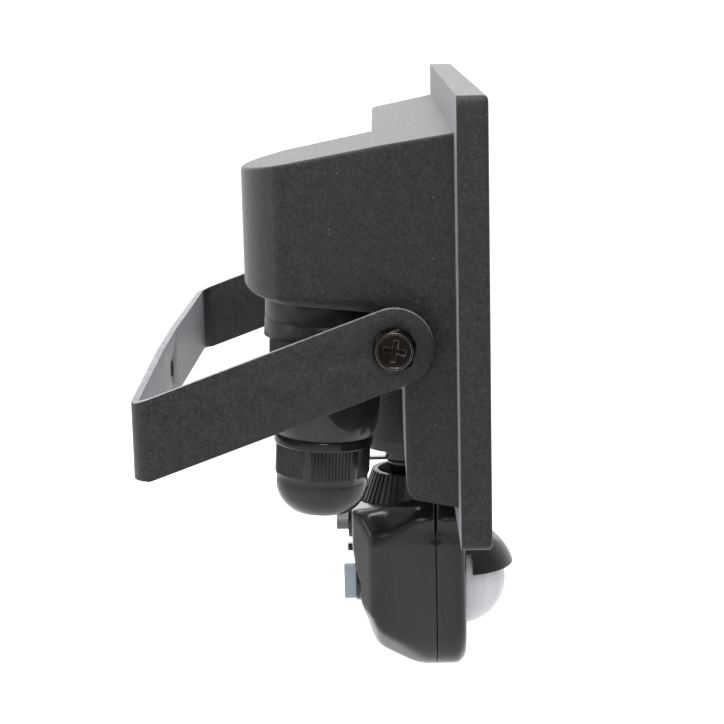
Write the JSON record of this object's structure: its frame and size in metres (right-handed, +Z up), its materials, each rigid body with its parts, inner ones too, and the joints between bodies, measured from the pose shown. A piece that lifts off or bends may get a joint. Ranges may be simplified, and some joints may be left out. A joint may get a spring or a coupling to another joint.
{
  "type": "motion sensor floodlight",
  "caption": "Rectangular wall floodlight on a tilting U bracket, with a plug-in cable gland and a round-lens motion sensor on a ball joint below.",
  "frame": {"origin": "centre of the wall hole on the wall face of the bracket", "axes": "+Z up, +Y into the wall, the lamp faces -Y, X across the lamp"},
  "size_m": [0.2148, 0.1047, 0.1778],
  "materials": {
    "powder_coat": "fine textured powder coat",
    "satin_black": "satin",
    "gloss_black": "polished",
    "dark_zinc": "dark zinc",
    "clear_glass": "clear",
    "milky_lens": "satin translucent",
    "seal_rubber": "matt",
    "reflector_metal": "bright",
    "board_white": "satin",
    "chip_yellow": "gloss",
    "board_green": "satin",
    "nylon_grey": "satin",
    "brass_pin": "polished",
    "knob_grey": "polished"
  },
  "bodies": {
    "bracket": {"wall_bracket": "powder_coat"},
    "lamp": {"lamp_housing": "powder_coat", "front_glass": "clear_glass", "glass_gasket": "seal_rubber", "reflector_sheet": "reflector_metal", "led_board": "board_white", "led_chips": "chip_yellow", "board_screws": "dark_zinc", "driver_board": "board_green", "transformer": "nylon_grey", "capacitor": "satin_black", "pivot_screw_left": "dark_zinc", "pivot_screw_right": "dark_zinc", "spring_washer_left": "dark_zinc", "spring_washer_right": "dark_zinc", "friction_washer_left": "nylon_grey", "friction_washer_right": "nylon_grey", "connector_socket": "satin_black", "contact_pins": "brass_pin", "sensor_foot": "gloss_black"},
    "pan": {"ball_liner": "nylon_grey"},
    "head": {"sensor_rear_shell": "gloss_black", "sensor_front_shell": "gloss_black", "dome_lens": "milky_lens", "lens_hood": "gloss_black", "sensor_board": "board_green", "heat_sensor": "dark_zinc", "light_sensor": "milky_lens"},
    "ring": {"lock_ring": "satin_black"},
    "time_dial": {"time_knob": "knob_grey"},
    "lux_dial": {"lux_knob": "knob_grey"},
    "plug": {"plug_body": "satin_black", "contact_block": "nylon_grey", "gland_seal": "seal_rubber"},
    "gland": {"gland_nut": "satin_black"}
  },
  "joints": [
    {"name": "lamp_tilt", "type": "hinge", "parent": "bracket", "child": "lamp", "pos_m": [0, -0.0688, 0.0234], "axis": [1, 0, 0], "range_deg": [-90, 25]},
    {"name": "sensor_pan", "type": "hinge", "parent": "lamp", "child": "pan", "pos_m": [0, -0.073, -0.042], "axis": [0, 0, 1], "range_deg": [-90, 90]},
    {"name": "sensor_tilt", "type": "hinge", "parent": "pan", "child": "head", "pos_m": [0, -0.073, -0.042], "axis": [1, 0, 0], "range_deg": [-12, 12]},
    {"name": "lock_ring_turn", "type": "hinge", "parent": "head", "child": "ring", "pos_m": [0, -0.073, -0.042], "axis": [0, 0, 1], "range_deg": [-60, 60]},
    {"name": "time_turn", "type": "hinge", "parent": "head", "child": "time_dial", "pos_m": [-0.012, -0.073, -0.0636], "axis": [0, 1, 0], "range_deg": [-135, 135]},
    {"name": "lux_turn", "type": "hinge", "parent": "head", "child": "lux_dial", "pos_m": [0.006, -0.073, -0.0491], "axis": [0, 1, 0], "range_deg": [-135, 135]},
    {"name": "plug_pull", "type": "slide", "parent": "lamp", "child": "plug", "axis": [0, 0.061, -0.9981], "range_m": [0, 0.02]},
    {"name": "gland_turn", "type": "hinge", "parent": "plug", "child": "gland", "pos_m": [-0.059, -0.04875, -0.01743], "axis": [0, 0.061, -0.9981], "range_deg": [-180, 180]}
  ]
}
